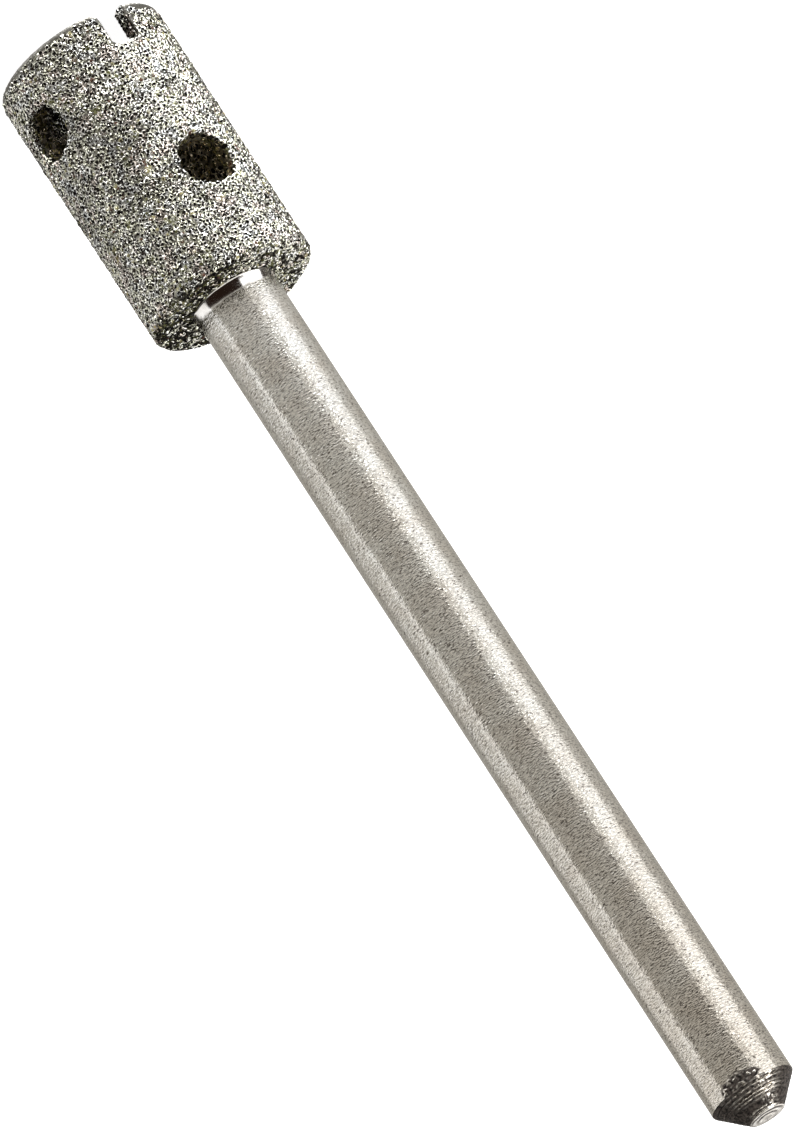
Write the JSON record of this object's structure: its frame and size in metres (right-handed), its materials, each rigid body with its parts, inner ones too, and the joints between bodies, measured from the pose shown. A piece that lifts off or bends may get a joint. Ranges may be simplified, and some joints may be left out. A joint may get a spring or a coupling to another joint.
{
  "type": "diamond glass drill bit",
  "caption": "Hollow core drill bit for glass: a grit-plated cup-shaped barrel with cross ports and a slotted rim, on a plain round shank with a turned cone end.",
  "frame": {"origin": "centre of the cutting rim, on the plane that the rim stands on", "axes": "+Z along the bit's axis from the cutting rim to the shank's free end; -Y is the side that the picture shows"},
  "size_m": [0.0064, 0.0064, 0.0458],
  "materials": {
    "diamond_grit": "coarse grit held in nickel plate, sparkling, with grey, black and straw coloured grains",
    "nickel_plate": "nickel plate with an orange-peel surface, small pits and fine nicks",
    "filler_metal": "smooth and bright"
  },
  "bodies": {
    "root": {"barrel": "diamond_grit", "shank": "nickel_plate", "braze": "filler_metal"}
  },
  "joints": []
}
